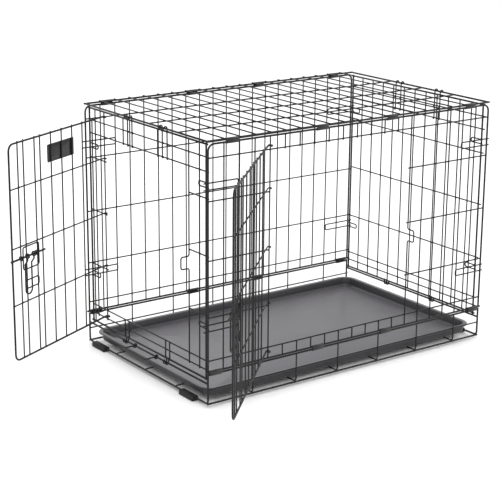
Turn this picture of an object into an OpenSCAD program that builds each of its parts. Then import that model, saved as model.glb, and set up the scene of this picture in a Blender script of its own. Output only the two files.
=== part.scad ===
// Two-door folding wire dog crate with a pull-out pan, standing open.
// Origin: on the floor under the middle of the crate body. +X runs along the crate, the long
// side with a door faces -Y, the short end with a door faces -X, +Z is up. Millimetres.

/* [Crate] */
// Length over the corner wires
crate_l = 762; // [640:1:920]
// Width over the corner wires
crate_w = 483; // [400:1:580]
// Height to the top of the roof's edge wire
crate_h = 559; // [500:1:680]

/* [Wire] */
// Wire of the panel edges, door edges and floor edges
frame_wire = 4.2; // [3.6:0.1:5]
// Wire of the grids, loops and hooks
grid_wire = 3; // [2.6:0.1:3.6]
// Rod of the slide bolts
bolt_wire = 4.5; // [4:0.1:5.5]
// Wire of the bolt handles
handle_wire = 3.5; // [3:0.1:4]
// How deep two crossing wires are sunk into each other by their weld
weld = 0.4; // [0.3:0.1:0.6]
// Clearance round a wire that turns or slides
play = 0.4; // [0.3:0.05:0.6]
// Bend radius of the panel and door corners
corner_bend = 14; // [10:1:18]

/* [Long sides] */
// Equal spaces between the upright wires of a long side
long_bays = 20; // [18:2:24]
// Upright that the front door hangs on, counted from the left
hinge_bay = 4; // [3:1:5]
// Spaces across the front door opening
door_bays = 10; // [8:1:11]
// Cross wires from sill to header, as shares of the wall above the base lip
side_shares = [0.058, 0.248, 0.494, 0.746, 0.926]; // [0:0.001:1]

/* [Ends] */
// Width of the end door opening between its upright wires
end_opening = 330.6; // [290:0.1:350]
// Spacing of the upright wires of an end
end_pitch = 38.1; // [34:0.1:42]
// Wires below the end door, as shares of the wall above the base lip
end_sill_shares = [0.011, 0.051]; // [0:0.001:1]
// Wires beside the end door, as shares
end_mid_shares = [0.25, 0.509, 0.754]; // [0:0.001:1]
// Wires above the end door, as shares
end_head_shares = [0.866, 0.926]; // [0:0.001:1]
// Drop from the roof's edge wire to the top wire of an end
end_drop = 6.9; // [6:0.1:9]

/* [Doors] */
// How far the front door stands open, from shut
front_door_open = 135.7; // [0:0.1:160]
// How far the end door stands open, from shut
end_door_open = 64; // [0:0.1:155]
// Cross wires of the front door, as shares of the wall above the base lip
front_door_shares = [0.04, 0.26, 0.508, 0.762, 0.943]; // [0:0.001:1]
// Cross wires of the end door, as shares
end_door_shares = [0.026, 0.27, 0.517, 0.77, 0.959]; // [0:0.001:1]
// How far a door laps past its opening
door_lap = 5; // [4.5:0.1:7]
// Front bolt, as a share of the wall above the base lip
front_bolt_share = 0.438; // [0.4:0.001:0.45]
// End bolt, as a share
end_bolt_share = 0.454; // [0.4:0.001:0.47]

/* [Bolts] */
// Distance of the bolt handle from the door's free edge
latch_set = 69.5; // [66:0.5:74]
// Gap between the door's uprights and the rod of the bolt
bolt_stand = 4.3; // [4.1:0.1:6]
// Length of the bolt guide along the door
guide_l = 54; // [50:1:60]
// Height of the bolt guide
guide_h = 48; // [44:1:56]
// Space between the two legs of a bolt handle
handle_w = 22; // [20:1:24]
// How far a handle hangs below its rod
handle_drop = 85; // [75:1:90]
// How far the keeper stands out from its upright
keeper_reach = 20; // [19.5:0.1:24]
// Height of the keeper along its upright
keeper_h = 36; // [32:1:40]

/* [Base and pan] */
// Height of the floor wires' centre line
floor_z = 8; // [7.5:0.1:10]
// Height of the base lip
lip_z = 72; // [66:1:78]
// Height of the middle wire of the lip
lip_mid_z = 38; // [34:1:44]
// Height of the base's end rail
rail_z = 52; // [49:0.5:55]
// Distance between two wires held together by a clip
pair_gap = 5.4; // [5.2:0.1:6]
// Height of the pan
pan_h = 21.5; // [16:0.5:21.5]
// Wall of the pan
pan_wall = 2.4; // [1.8:0.1:3]
// Corner radius of the pan
pan_r = 34; // [24:1:44]
// Width of the pan's rim
pan_rim = 9; // [6:0.5:12]
// Length of a foot
foot_l = 52; // [40:1:56]
// Distance of a front foot's middle from the corner post
front_foot_y = 72; // [66:1:76]
// Distance of a rear foot's middle from the corner post
rear_foot_y = 47; // [40:1:70]
// Width of a foot
foot_w = 16; // [14:0.5:20]

/* [Fittings] */
// Length of a clip
clip_l = 30; // [24:1:32]
// Thickness of the clip's sheet
clip_sheet = 1.2; // [1:0.1:1.5]
// Length of the corner hairpins inside the panel
hairpin_l = 75; // [60:1:90]
// Space between a hairpin's two legs
hairpin_w = 14; // [12:1:18]
// Width of the name plate
plate_w = 95; // [80:1:110]
// Height of the name plate
plate_h = 38; // [30:1:44]
// Thickness of the name plate
plate_t = 1.6; // [1:0.1:2.5]

/* [Hidden] */
$fn = 24;

black = [0.09, 0.09, 0.1];
grey = [0.33, 0.33, 0.34];
rubber = [0.06, 0.06, 0.065];

plane_x = crate_l/2 - frame_wire/2;
plane_y = crate_w/2 - frame_wire/2;
top_z = crate_h - frame_wire/2;
side_top_z = top_z - pair_gap;
side_low_z = lip_z + pair_gap;

function level(share) = lip_z + share*(crate_h - lip_z);
function levels(shares) = [for (k = shares) level(k)];
side_rows = levels(side_shares);
end_sill_rows = levels(end_sill_shares);
end_mid_rows = levels(end_mid_shares);
end_head_rows = levels(end_head_shares);
front_rails = levels(front_door_shares);
end_rails = levels(end_door_shares);
catch_rows = levels([0.203, 0.809]);
front_bolt_z = level(front_bolt_share);
end_bolt_z = level(end_bolt_share);
plate_z = level(0.869);

layer = grid_wire - weld;
frame_layer = (grid_wire + frame_wire)/2 - weld;
bay = 2*plane_x/long_bays;
latch_bay = hinge_bay + door_bays;
front_opening = door_bays*bay;
stub = 6;

hook_r = frame_wire/2 + play + grid_wire/2;
end_plane = plane_x - hook_r;
end_tip = plane_y - layer - grid_wire/2 - 2;
end_edge = end_tip - stub;
end_top_z = top_z - end_drop;
end_low_z = rail_z + 7.5;
ring_y = 82;
hook_y = 68;
hook_w = 18;

rail_n = grid_wire + play;
edge_n = (grid_wire + frame_wire)/2 + play;
upright_n = rail_n + layer;
weld_n = upright_n + layer;
rod_n = upright_n + grid_wire/2 + bolt_stand + bolt_wire/2;
guide_r = bolt_wire/2 + play + grid_wire/2;
eye_r = bolt_wire/2 + play + handle_wire/2;
front_latch = front_opening + door_lap - latch_set;
end_latch = end_opening + door_lap - latch_set;
bolt_stop = 0.75;

cross_z = floor_z + 0.3;
runner_z = cross_z + layer;
lip_bend = 8;
foot_top = floor_z + frame_wire/2 + 1.4;
pan_z = runner_z + grid_wire/2 + 0.3;
pan_top = pan_z + pan_h;
pan_half_x = plane_x - frame_wire/2 - 1.8;
pan_half_y = plane_y - layer - grid_wire/2 - 4.3;
stop_y = 43;
stop_l = rail_z - pan_z - pan_h/2;

// ---- wire, bent and straight ----

function unit(v) = v/norm(v);

// Straight wire from a to b
module rod(a, b, d) {
    u = unit(b - a);
    across = abs(u.z) < 0.9 ? unit(cross(u, [0, 0, 1])) : [-1, 0, 0];
    side = across.y > 0.001 ? -across : across;
    up = cross(u, side);
    multmatrix([[side.x, up.x, u.x, a.x], [side.y, up.y, u.y, a.y], [side.z, up.z, u.z, a.z]])
        cylinder(h = norm(b - a), d = d);
}

// Bend of a wire at corner p, from direction u to direction v
module elbow(p, u, v, r, d) {
    turn = acos(u*v);
    w = unit(v - (u*v)*u);
    c = p - u*r*tan(turn/2) + w*r;
    z = cross(-w, u);
    multmatrix([[-w.x, u.x, z.x, c.x], [-w.y, u.y, z.y, c.y], [-w.z, u.z, z.z, c.z]])
        rotate_extrude(angle = turn) translate([r, 0]) circle(d = d);
}

// Wire through the points, each inner corner bent to radius r
module bent_wire(points, r, d) {
    last = len(points) - 1;
    dirs = [for (i = [0:last-1]) unit(points[i+1] - points[i])];
    cut = [for (i = [0:last]) i == 0 || i == last ? 0 : r*tan(acos(dirs[i-1]*dirs[i])/2)];
    for (i = [0:last-1]) {
        a = points[i] + dirs[i]*cut[i];
        b = points[i+1] - dirs[i]*cut[i+1];
        if (norm(b - a) > 0.01) rod(a, b, d);
    }
    for (i = [1:last-1]) elbow(points[i], dirs[i-1], dirs[i], r, d);
}

// Closed ring of wire round a wire that runs along axis
module ring(p, axis, r, d) {
    turn = axis == "x" ? [0, 90, 0] : axis == "y" ? [90, 0, 0] : [0, 0, 0];
    translate(p) rotate(turn) rotate_extrude() translate([r, 0]) circle(d = d);
}

function col_x(i) = -plane_x + i*bay;

// ---- base ----

module base_floor() color(black) {
    reach = plane_y - lip_bend;
    for (s = [-1, 1]) rod([s*plane_x, -reach, floor_z], [s*plane_x, reach, floor_z], frame_wire);
    for (i = [3:3:long_bays-1]) rod([col_x(i), -reach, cross_z], [col_x(i), reach, cross_z], grid_wire);
    for (y = [-120, 0, 120]) rod([-plane_x, y, runner_z], [plane_x, y, runner_z], grid_wire);
}

module lip(side) {
    y = side*plane_y;
    in = side*(plane_y - layer);
    foot = side*(plane_y - lip_bend);
    for (i = [0, long_bays])
        bent_wire([[col_x(i), foot, floor_z], [col_x(i), y, floor_z],
            [col_x(i), y, lip_z + 1]], lip_bend, frame_wire);
    for (i = [3:3:long_bays-1])
        bent_wire([[col_x(i), foot, cross_z], [col_x(i), y, cross_z],
            [col_x(i), y, lip_z + 1]], lip_bend, grid_wire);
    rod([-plane_x - 2, y, floor_z], [plane_x + 2, y, floor_z], frame_wire);
    rod([-plane_x - 2, y, lip_z], [plane_x + 2, y, lip_z], frame_wire);
    rod([-plane_x - 2, in, lip_mid_z], [plane_x + 2, in, lip_mid_z], grid_wire);
}

module base_front_lip() color(black) lip(-1);
module base_rear_lip() color(black) lip(1);

module end_rail(side) {
    reach = plane_y - frame_wire/2;
    rod([side*plane_x, -reach, rail_z], [side*plane_x, reach, rail_z], frame_wire);
}

module base_left_rail() color(black) end_rail(-1);
module base_right_rail() color(black) end_rail(1);

// Soft sleeves on the floor wires of both ends
module feet() color(rubber)
    for (sx = [-1, 1]) for (y = [front_foot_y - plane_y, plane_y - rear_foot_y])
        translate([sx*plane_x, y, 0])
            rotate([90, 0, 0]) difference() {
                linear_extrude(height = foot_l, center = true) foot_outline();
                translate([0, floor_z, 0]) cylinder(h = foot_l + 2, d = frame_wire + 0.2, center = true);
            }

module foot_outline() {
    r = 4;
    translate([-foot_w/2, 0]) square([foot_w, foot_top - r]);
    translate([-foot_w/2 + r, 0]) square([foot_w - 2*r, foot_top]);
    for (s = [-1, 1]) translate([s*(foot_w/2 - r), foot_top - r]) circle(r = r);
}

// ---- pan ----

module slab(hx, hy, r, h) {
    linear_extrude(height = h) {
        square([2*hx - 2*r, 2*hy], center = true);
        square([2*hx, 2*hy - 2*r], center = true);
        for (sx = [-1, 1]) for (sy = [-1, 1])
            translate([sx*(hx - r), sy*(hy - r)]) circle(r = r, $fn = 64);
    }
}

module pan() color(grey) translate([0, 0, pan_z]) {
    in = pan_rim;
    step = 26;
    difference() {
        union() {
            slab(pan_half_x - in, pan_half_y - in, pan_r - in, pan_h - 1);
            translate([0, 0, pan_h - 3]) slab(pan_half_x, pan_half_y, pan_r, 3);
        }
        translate([0, 0, pan_wall + 2])
            slab(pan_half_x - in - pan_wall, pan_half_y - in - pan_wall, pan_r - in - pan_wall, pan_h);
        difference() {
            translate([0, 0, pan_wall])
                slab(pan_half_x - in - pan_wall - 1.5, pan_half_y - in - pan_wall - 1.5,
                    pan_r - in - pan_wall - 1.5, pan_h);
            translate([0, 0, pan_wall - 1])
                slab(pan_half_x - step, pan_half_y - step, pan_r - in - pan_wall - 3, 3);
        }
        translate([0, 0, -1])
            slab(pan_half_x - step - pan_wall, pan_half_y - step - pan_wall, pan_r - in - pan_wall - 6, 3);
    }
}

// Wire bail on the left rail, turned up so that the pan can come out
module pan_stop() color(black) {
    for (s = [-1, 1]) ring([-plane_x, s*stop_y, rail_z], "y", hook_r, grid_wire);
    bent_wire([[-plane_x - hook_r, -stop_y, rail_z], [-plane_x - stop_l, -stop_y, rail_z],
        [-plane_x - stop_l, stop_y, rail_z], [-plane_x - hook_r, stop_y, rail_z]], 5, grid_wire);
}

// ---- long sides and roof ----

// Cross wires of a long side, on its inner face
module side_row(side, z, a, b)
    rod([a, side*(plane_y - layer), z], [b, side*(plane_y - layer), z], grid_wire);

// Top or bottom wire of a long side
module side_edge(side, z, a, b) rod([a, side*plane_y, z], [b, side*plane_y, z], frame_wire);

// Upright wire of a long side
module side_upright(side, i, a, b) rod([col_x(i), side*plane_y, a], [col_x(i), side*plane_y, b], grid_wire);

// Corner upright with its rounded top corner and a length of top wire
module side_corner(side, sx, reach)
    bent_wire([[sx*plane_x, side*plane_y, side_low_z - 2.4], [sx*plane_x, side*plane_y, side_top_z],
        [reach, side*plane_y, side_top_z]], corner_bend, frame_wire);

module front_left_grille() color(black) {
    cut = col_x(hinge_bay) + 3;
    side_corner(-1, -1, cut);
    side_edge(-1, side_low_z, -plane_x - stub, cut);
    for (i = [1:hinge_bay]) side_upright(-1, i, side_low_z, side_top_z);
    for (z = side_rows) side_row(-1, z, -plane_x - 3, cut);
}

module front_right_grille() color(black) {
    x = col_x(latch_bay);
    cut = x - 3;
    side_corner(-1, 1, cut);
    side_edge(-1, side_low_z, cut, plane_x + stub);
    rod([x, -plane_y, side_low_z], [x, -plane_y, front_bolt_z - keeper_h/2], grid_wire);
    rod([x, -plane_y, front_bolt_z + keeper_h/2], [x, -plane_y, side_top_z], grid_wire);
    for (i = [latch_bay+1:long_bays-1]) side_upright(-1, i, side_low_z, side_top_z);
    for (z = side_rows) side_row(-1, z, cut, plane_x + 3);
}

// Short grille over or under the front door
module front_band(edge_z, row_z) {
    a = col_x(hinge_bay) + 3;
    b = col_x(latch_bay) - 3;
    side_edge(-1, edge_z, a, b);
    side_row(-1, row_z, a, b);
    for (i = [hinge_bay+1:latch_bay-1])
        side_upright(-1, i, min(edge_z, row_z - 2.5), max(edge_z, row_z + 2.5));
}

module front_header() color(black) front_band(side_top_z, side_rows[4]);
module front_sill() color(black) front_band(side_low_z, side_rows[0]);

// Outward bow in an upright that the bolt slides behind
module keeper(z) {
    h = keeper_h/2;
    out = h - 5;
    bent_wire([[0, 0, z - h], [0, 0, z - out], [0, -keeper_reach, z - out],
        [0, -keeper_reach, z + out], [0, 0, z + out], [0, 0, z + h]], 4.5, grid_wire);
}

module front_keeper() color(black) translate([col_x(latch_bay), -plane_y, 0]) keeper(front_bolt_z);

module rear_panel() color(black) {
    bent_wire([[-plane_x, plane_y, side_low_z - 2.4], [-plane_x, plane_y, side_top_z],
        [plane_x, plane_y, side_top_z], [plane_x, plane_y, side_low_z - 2.4]], corner_bend, frame_wire);
    side_edge(1, side_low_z, -plane_x - stub, plane_x + stub);
    for (i = [1:long_bays-1]) side_upright(1, i, side_low_z, side_top_z);
    for (z = side_rows) side_row(1, z, -plane_x - 3, plane_x + 3);
}

module top_panel() color(black) {
    rear_bay = 4*end_pitch;
    rest = (2*plane_y - rear_bay)/3;
    for (s = [-1, 1]) {
        rod([-plane_x - 3, s*plane_y, top_z], [plane_x + 3, s*plane_y, top_z], frame_wire);
        rod([s*plane_x, -plane_y, top_z], [s*plane_x, plane_y, top_z], frame_wire);
    }
    for (k = [1:3]) rod([-plane_x, -plane_y + k*rest, top_z], [plane_x, -plane_y + k*rest, top_z], grid_wire);
    for (i = [1:long_bays-1])
        rod([col_x(i), -plane_y - 3, top_z + layer], [col_x(i), plane_y + 3, top_z + layer], grid_wire);
}

// ---- ends ----

// Wires beside a door opening: side is -1 at the front, 1 at the rear
module stile_rows(side, cut) {
    tip = side*end_tip;
    inner = -(end_plane - layer);
    for (z = concat(end_sill_rows, end_mid_rows, end_head_rows))
        rod([inner, side*cut, z], [inner, tip, z], grid_wire);
    rod([-end_plane, side*end_edge, end_low_z - 3], [-end_plane, side*end_edge, end_top_z + 3], frame_wire);
    rod([-end_plane, side*cut, end_low_z], [-end_plane, tip, end_low_z], frame_wire);
    rod([-end_plane, side*cut, end_top_z], [-end_plane, tip, end_top_z], frame_wire);
    y = side*(end_opening/2 + end_pitch);
    rod([-end_plane, y, end_sill_rows[0] - 2.5], [-end_plane, y, end_top_z], grid_wire);
}

end_cut = end_opening/2 - 3;

module left_rear_stile() color(black) {
    stile_rows(1, end_cut);
    y = end_opening/2;
    rod([-end_plane, y, end_sill_rows[0] - 2.5], [-end_plane, y, end_top_z], grid_wire);
}

module left_front_stile() color(black) {
    stile_rows(-1, end_cut);
    y = -end_opening/2;
    rod([-end_plane, y, end_sill_rows[0] - 2.5], [-end_plane, y, end_bolt_z - keeper_h/2], grid_wire);
    rod([-end_plane, y, end_bolt_z + keeper_h/2], [-end_plane, y, end_top_z], grid_wire);
}

module left_header() color(black) {
    inner = -(end_plane - layer);
    for (z = end_head_rows) rod([inner, -end_cut, z], [inner, end_cut, z], grid_wire);
    rod([-end_plane, -end_cut, end_top_z], [-end_plane, end_cut, end_top_z], frame_wire);
    for (s = [-1, 1]) {
        y = s*hook_y - hook_w/2 + 1.5*hook_w;
        rod([-end_plane, y, end_head_rows[0] - 2.5], [-end_plane, y, end_top_z], grid_wire);
    }
}

module left_sill() color(black) {
    inner = -(end_plane - layer);
    for (z = end_sill_rows) rod([inner, -end_cut, z], [inner, end_cut, z], grid_wire);
    rod([-end_plane, -end_cut, end_low_z], [-end_plane, end_cut, end_low_z], frame_wire);
    for (s = [-1, 1]) for (t = [-1, 1]) {
        y = s*ring_y + t*8;
        rod([-end_plane, y, end_low_z], [-end_plane, y, end_sill_rows[1] + 2.5], grid_wire);
    }
}

module end_keeper() color(black)
    translate([-end_plane, -end_opening/2, 0]) rotate([0, 0, -90]) keeper(end_bolt_z);

// Spring hooks that clasp the roof's end wire, legs down to the header wires
module hooks(side) {
    x = side*end_plane;
    far = side*(plane_x + hook_r);
    up = top_z + hook_r;
    legs = end_head_rows[0] - 2.5;
    for (s = [-1, 1]) {
        a = s*hook_y - hook_w;
        b = s*hook_y;
        for (y = [a, b])
            bent_wire([[x, y, legs], [x, y, up], [far, y, up], [far, y, top_z - 2]], hook_r, grid_wire);
        rod([far, a, top_z - 2], [far, b, top_z - 2], grid_wire);
    }
}

module left_hooks() color(black) hooks(-1);
module right_hooks() color(black) hooks(1);

// Links that hang an end on the base's end rail
module rings(side) {
    x = side*plane_x;
    for (s = [-1, 1]) for (t = [-1, 1]) {
        y = s*ring_y + t*4;
        rod([side*end_plane, y, rail_z], [side*end_plane, y, end_low_z + 3], grid_wire);
        translate([x, y, rail_z]) rotate([90, 0, 0]) rotate([0, 0, side > 0 ? 180 : 90])
            rotate_extrude(angle = 270) translate([hook_r, 0]) circle(d = grid_wire);
    }
}

module left_rings() color(black) rings(-1);
module right_rings() color(black) rings(1);

// Small loops at the corners of an end
module catches(side) {
    x = side*(end_plane - layer);
    for (s = [-1, 1]) for (z = catch_rows)
        bent_wire([[x, s*end_tip, z - 5], [x, s*(end_tip - 36), z - 5],
            [x, s*(end_tip - 36), z + 5], [x, s*end_tip, z + 5]], 4, grid_wire);
}

module left_catches() color(black) catches(-1);
module right_catches() color(black) catches(1);

module right_end_panel() color(black) {
    outer = end_plane + layer;
    n = floor((end_edge - 12)/end_pitch);
    for (s = [-1, 1])
        rod([end_plane, s*end_edge, end_low_z - 3], [end_plane, s*end_edge, end_top_z + 3], frame_wire);
    for (z = [end_low_z, end_top_z]) rod([end_plane, -end_tip, z], [end_plane, end_tip, z], frame_wire);
    for (z = concat(end_sill_rows, end_mid_rows, end_head_rows))
        rod([outer, -end_tip, z], [outer, end_tip, z], grid_wire);
    for (i = [-n:n])
        rod([end_plane, i*end_pitch, end_low_z], [end_plane, i*end_pitch, end_top_z], grid_wire);
}

// ---- hairpins and clips ----

module hairpins(side) {
    y = side*(plane_y - layer);
    for (s = [-1, 1]) for (z = catch_rows) {
        a = s*(plane_x + 9);
        b = s*(plane_x - hairpin_l);
        bent_wire([[a, y, z - hairpin_w/2], [b, y, z - hairpin_w/2],
            [b, y, z + hairpin_w/2], [a, y, z + hairpin_w/2]], 4, grid_wire);
    }
}

module front_hairpins() color(black) hairpins(-1);
module rear_hairpins() color(black) hairpins(1);

// Sheet clip round two wires, one over the other, open on the inside
module clip_outline() {
    r = frame_wire/2 + 0.15;
    difference() {
        stadium(r + clip_sheet);
        stadium(r);
        translate([0, 1.2]) square([2*r + 4, pair_gap - 2.4]);
    }
}

module stadium(r) {
    circle(r = r);
    translate([0, pair_gap]) circle(r = r);
    translate([-r, 0]) square([2*r, pair_gap]);
}

module clips(side, z, end_x)
    for (x = [-end_x, -2.5*bay, 2.5*bay, end_x])
        translate([x, side*plane_y, z]) rotate([90, 0, -side*90])
            linear_extrude(height = clip_l, center = true) clip_outline();

module top_clips(side) clips(side, side_top_z, plane_x - 1.5*bay);
module bottom_clips(side) clips(side, lip_z, plane_x - frame_wire - clip_l/2);

module top_front_clips() color(black) top_clips(-1);
module top_rear_clips() color(black) top_clips(1);
module bottom_front_clips() color(black) bottom_clips(-1);
module bottom_rear_clips() color(black) bottom_clips(1);

// ---- doors: drawn shut, along +X from the hinge wire, outside towards -Y ----

module at_front_door() translate([col_x(hinge_bay), -plane_y, 0]) rotate([0, 0, -front_door_open]) children();
module at_end_door() translate([-end_plane, end_opening/2, 0]) rotate([0, 0, -90 - end_door_open]) children();

function door_edge(opening) = opening + door_lap;

module door(opening, pitch, latch, rails) {
    edge = door_edge(opening);
    low = rails[0];
    high = rails[4];
    bent_wire([[0, -edge_n, low], [edge, -edge_n, low], [edge, -edge_n, high], [0, -edge_n, high]],
        corner_bend, frame_wire);
    for (z = [low, high]) eye(z, edge_n, frame_wire);
    for (k = [1:3]) {
        rod([0, -rail_n, rails[k]], [edge + 3, -rail_n, rails[k]], grid_wire);
        eye(rails[k], rail_n, grid_wire);
    }
    plain = [for (i = [-floor((latch - 20)/pitch):1]) if (i != 0) latch + i*pitch];
    for (s = concat(plain, [latch - pitch/2, latch + pitch/2]))
        rod([s, -upright_n, low - 3], [s, -upright_n, high + 3], grid_wire);
}

// Loop of a cross wire round the hinge wire
module eye(z, r, d) translate([0, 0, z]) rotate_extrude(angle = 270) translate([r, 0]) circle(d = d);

module guide(latch, z) {
    a = latch - guide_l/2;
    b = latch + guide_l/2;
    h = guide_h/2;
    for (s = [a, b]) ring([s, -rod_n, z], "x", guide_r, grid_wire);
    for (t = [-1, 1])
        bent_wire([[a, -weld_n, z], [a, -weld_n, z + t*h], [b, -weld_n, z + t*h], [b, -weld_n, z]],
            5, grid_wire);
}

// U of wire that the handle rests on
module staple(latch, z) {
    a = latch - guide_l/2 + 2;
    b = latch + guide_l/2 - 6;
    bent_wire([[b, -weld_n, z - 48], [a, -weld_n, z - 48], [a, -weld_n, z - 66], [b, -weld_n, z - 66]],
        5, grid_wire);
}

function handle_a(latch) = latch - guide_l/2 + 10;
function bolt_travel() = guide_l - 10 - handle_w - grid_wire/2 - handle_wire/2 - bolt_stop;

// Slide bolt, drawn back, with the two collars that carry the handle along
module bolt(latch, opening, z) {
    tip = opening - grid_wire/2 - 1.5;
    rod([latch - 57, -rod_n, z], [tip - 2, -rod_n, z], bolt_wire);
    translate([tip - 2, -rod_n, z]) rotate([0, 90, 0]) cylinder(h = 2, d1 = bolt_wire, d2 = bolt_wire - 2);
    a = handle_a(latch);
    for (s = [a + handle_wire/2 + 0.3, a + handle_w - handle_wire/2 - 2.3])
        rod([s, -rod_n, z], [s + 2, -rod_n, z], bolt_wire + 2.2);
}

module handle(latch, z) {
    a = handle_a(latch);
    b = a + handle_w;
    for (s = [a, b]) ring([s, -rod_n, z], "x", eye_r, handle_wire);
    bent_wire([[a, -rod_n, z - eye_r], [a, -rod_n, z - handle_drop], [b, -rod_n, z - handle_drop],
        [b, -rod_n, z - eye_r]], handle_w/2 - 0.5, handle_wire);
}

module front_door() color(black) at_front_door() door(front_opening, bay, front_latch, front_rails);
module front_bolt() color(black) at_front_door() bolt(front_latch, front_opening, front_bolt_z);
module front_handle() color(black) at_front_door() handle(front_latch, front_bolt_z);
module front_guide() color(black) at_front_door() guide(front_latch, front_bolt_z);
module front_staple() color(black) at_front_door() staple(front_latch, front_bolt_z);
module end_door() color(black) at_end_door() door(end_opening, end_pitch, end_latch, end_rails);
module end_bolt() color(black) at_end_door() bolt(end_latch, end_opening, end_bolt_z);
module end_handle() color(black) at_end_door() handle(end_latch, end_bolt_z);
module end_guide() color(black) at_end_door() guide(end_latch, end_bolt_z);
module end_staple() color(black) at_end_door() staple(end_latch, end_bolt_z);

// Blank plate on the outer face of the end door, held by four rivets
module name_plate() color(black) at_end_door() {
    s = 4*end_pitch;
    n = upright_n + grid_wire/2;
    translate([s - plate_w/2, -n - plate_t, plate_z - plate_h/2]) cube([plate_w, plate_t, plate_h]);
    for (ds = [-1, 1]) for (dz = [-1, 1])
        translate([s + ds*(plate_w/2 - 5), -n - plate_t, plate_z + dz*(plate_h/2 - 8)])
            rotate([90, 0, 0]) cylinder(h = 1, d = 3.4);
}

base_floor();
base_front_lip();
base_rear_lip();
base_left_rail();
base_right_rail();
feet();
pan();
pan_stop();
front_left_grille();
front_header();
front_sill();
front_right_grille();
front_keeper();
rear_panel();
top_panel();
left_rear_stile();
left_header();
left_sill();
left_front_stile();
end_keeper();
left_hooks();
left_rings();
left_catches();
right_end_panel();
right_hooks();
right_rings();
right_catches();
front_hairpins();
rear_hairpins();
top_front_clips();
top_rear_clips();
bottom_front_clips();
bottom_rear_clips();
front_door();
front_bolt();
front_handle();
front_guide();
front_staple();
end_door();
end_bolt();
end_handle();
end_guide();
end_staple();
name_plate();
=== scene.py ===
import math
import bpy
import numpy as np
from mathutils import Matrix, Vector


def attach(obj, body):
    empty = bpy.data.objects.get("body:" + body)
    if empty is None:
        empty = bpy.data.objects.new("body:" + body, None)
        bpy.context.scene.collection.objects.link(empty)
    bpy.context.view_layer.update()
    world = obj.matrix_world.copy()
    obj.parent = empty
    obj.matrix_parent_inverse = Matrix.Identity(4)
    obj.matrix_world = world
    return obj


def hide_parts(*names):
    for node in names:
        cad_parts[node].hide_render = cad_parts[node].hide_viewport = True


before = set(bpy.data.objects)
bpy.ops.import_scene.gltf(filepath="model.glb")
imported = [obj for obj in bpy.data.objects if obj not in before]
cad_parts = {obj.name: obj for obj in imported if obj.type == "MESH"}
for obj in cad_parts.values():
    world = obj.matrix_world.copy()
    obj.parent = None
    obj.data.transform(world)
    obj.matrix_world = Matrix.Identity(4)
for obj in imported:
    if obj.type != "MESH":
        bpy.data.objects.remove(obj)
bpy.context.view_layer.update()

# Folding wire crate: welded grid walls, two doors on wire eyes, slide bolts, pull-out pan.
# Sizes in millimetres, the same as in the part's source; MM turns them into metres.
MM = 0.001

crate_l, crate_w, crate_h = 762.0, 483.0, 559.0
thick, thin, bolt_d, bail_d = 4.2, 3.0, 4.5, 3.5
weld, play, corner_bend = 0.4, 0.4, 14.0
floor_z, lip_z, lip_mid_z, rail_z, gap = 8.0, 72.0, 38.0, 52.0, 5.4

plane_x = crate_l / 2 - thick / 2
plane_y = crate_w / 2 - thick / 2
top_z = crate_h - thick / 2
side_top = top_z - gap
side_low = lip_z + gap
layer = thin - weld
bay = 2 * plane_x / 20
cross_z = floor_z + 0.3
runner_z = cross_z + layer


def level(share):
    """Height at a share of the wall, from the base's lip to the top."""
    return lip_z + share * (crate_h - lip_z)


side_rows = [level(k) for k in (0.058, 0.248, 0.494, 0.746, 0.926)]
sill_rows = [level(k) for k in (0.011, 0.051)]
mid_rows = [level(k) for k in (0.25, 0.509, 0.754)]
head_rows = [level(k) for k in (0.866, 0.926)]
front_rails = [level(k) for k in (0.04, 0.26, 0.508, 0.762, 0.943)]
end_rails = [level(k) for k in (0.026, 0.27, 0.517, 0.77, 0.959)]
catch_rows = [level(k) for k in (0.203, 0.809)]
front_bolt_z, end_bolt_z, plate_z = level(0.438), level(0.454), level(0.869)

hinge_bay, latch_bay = 4, 14
front_opening, end_opening, end_pitch = 10 * bay, 330.6, 38.1
hook_r = thick / 2 + play + thin / 2
end_plane = plane_x - hook_r
end_tip = plane_y - layer - thin / 2 - 2
end_edge = end_tip - 6
end_top = top_z - 6.9
end_low = rail_z + 7.5
rail_n = thin + play
edge_n = (thin + thick) / 2 + play
upright_n = rail_n + layer
weld_n = upright_n + layer
rod_n = upright_n + thin / 2 + 4.3 + bolt_d / 2
guide_r = bolt_d / 2 + play + thin / 2
eye_r = bolt_d / 2 + play + bail_d / 2
door_lap, latch_set, guide_l, guide_h = 5.0, 69.5, 54.0, 48.0
handle_w, handle_drop, handle_jog = 22.0, 85.0, 6.5
rest_high, rest_low = 48.0, 66.0

# How far a thin wire runs past the last wire it is welded to: short stubs and plain ends.
stub, past = 2.5, 3.0
base_cols = [0, 20] + list(range(3, 20, 3))
runner_ys = (-120.0, 0.0, 120.0)
hook_y, hook_span, header_set = 68.0, 18.0, 27.0
link_y, link_set, sill_set = 82.0, 4.0, 8.0
catch_l, catch_h = 36.0, 10.0
pin_out, pin_in, pin_h = 9.0, 75.0, 14.0
front_foot_y, rear_foot_y = 72.0, 47.0
foot_half_w, foot_corner, foot_l, foot_cover, sole_edge = 8.0, 4.0, 52.0, 1.4, 1.2
pan_z = runner_z + thin / 2 + 0.3
pan_h, pan_wall, pan_rim, pan_corner = 21.5, 2.4, 9.0, 34.0
pan_play_x, pan_play_y = 1.8, 4.3
stop_half = 43.0
plate_w, plate_h, plate_t, plate_corner = 95.0, 38.0, 1.6, 3.0

# Half sizes of the weld nuggets along x, y and z.
side_weld, end_weld, roof_weld = (2.3, 1.4, 2.3), (1.4, 2.3, 2.3), (2.3, 2.3, 1.5)
runner_weld, lip_weld = (2.2, 2.2, 1.4), (2.3, 1.5, 2.2)
edge_weld, hook_weld = (2.3, 1.5, 2.5), (2.9, 2.3, 2.9)

# Full turn of an eye, in degrees, and a direction that no wire follows.
eye_turn = 262
off_axis = np.array([0.43, 0.36, 0.83])


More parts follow.
